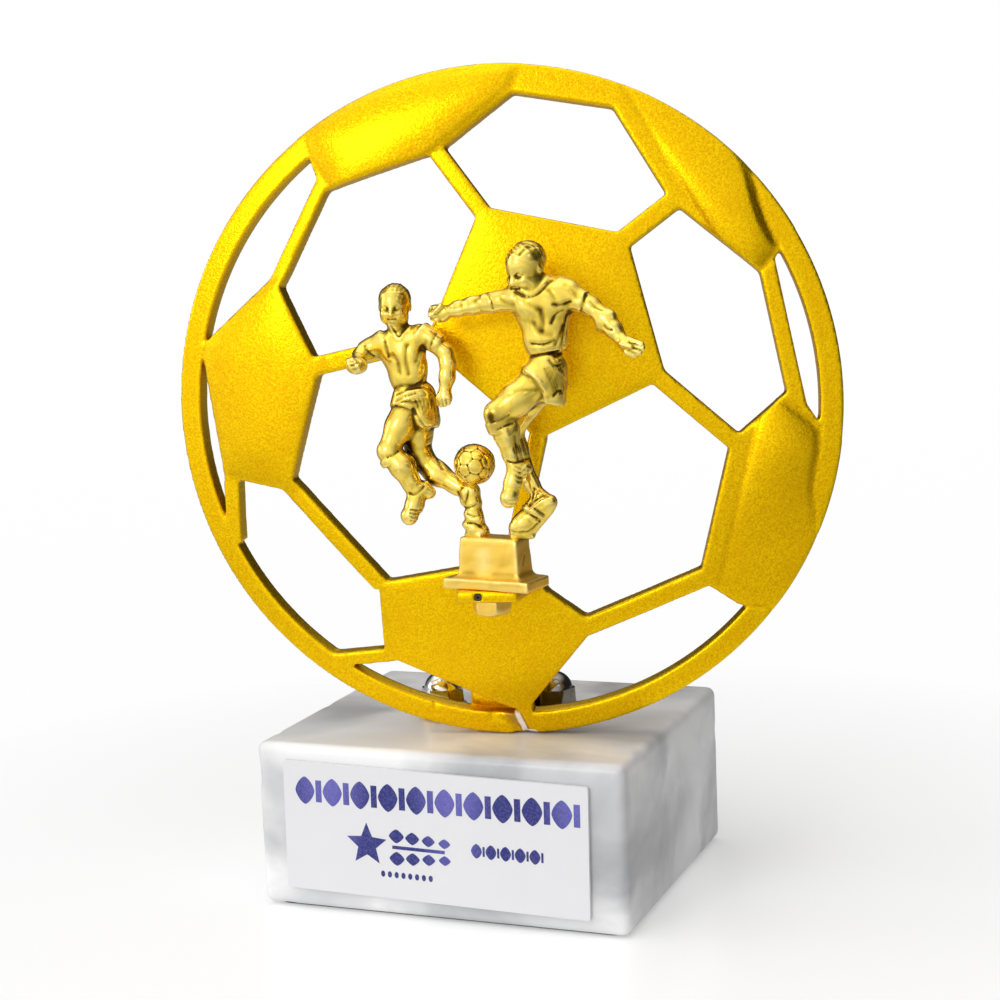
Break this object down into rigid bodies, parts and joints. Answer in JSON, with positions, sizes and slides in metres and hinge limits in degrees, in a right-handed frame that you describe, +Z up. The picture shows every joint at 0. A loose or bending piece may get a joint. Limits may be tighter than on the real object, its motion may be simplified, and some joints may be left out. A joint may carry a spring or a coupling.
{
  "type": "figure trophy",
  "caption": "Football figure trophy: a marble block carries a round openwork ball disc, with a small plinth on its shelf where players contest a ball.",
  "frame": {"origin": "centre of the flat bottom of the felt under the marble base", "axes": "+X to the right across the inscription plate, +Y from the plate to the back, +Z up"},
  "size_m": [0.133, 0.0721, 0.17],
  "materials": {
    "marble": "polished white marble with soft grey veins",
    "felt": "dark pressed felt",
    "plate_white": "white printed plate with a plain blue ornament",
    "adhesive": "clear mounting tape",
    "disc_gold": "satin, finely grained yellow gold paint",
    "foot_gold": "satin gold paint",
    "steel": "zinc-plated steel",
    "chrome": "bright chrome",
    "plinth_gold": "matt pale gold plating",
    "figure_gold": "brushed antique gold plating, dark in the hollows",
    "dark_steel": "blackened steel"
  },
  "bodies": {
    "root": {"marble_base": "marble", "base_felt": "felt", "inscription_plate": "plate_white", "plate_adhesive": "adhesive", "ball_disc": "disc_gold", "disc_foot": "foot_gold", "foot_screw_upper": "steel", "foot_screw_lower": "steel", "base_bolt_left": "steel", "base_bolt_right": "steel", "bolt_washer_left": "steel", "bolt_washer_right": "steel", "nut_washer_left": "steel", "nut_washer_right": "steel", "dome_nut_left": "chrome", "dome_nut_right": "chrome", "figure_plinth": "plinth_gold", "striker_player": "figure_gold", "defender_player": "figure_gold", "game_ball": "figure_gold", "figure_stud": "steel", "figure_nut": "plinth_gold", "shelf_set_screw": "dark_steel"}
  },
  "joints": []
}
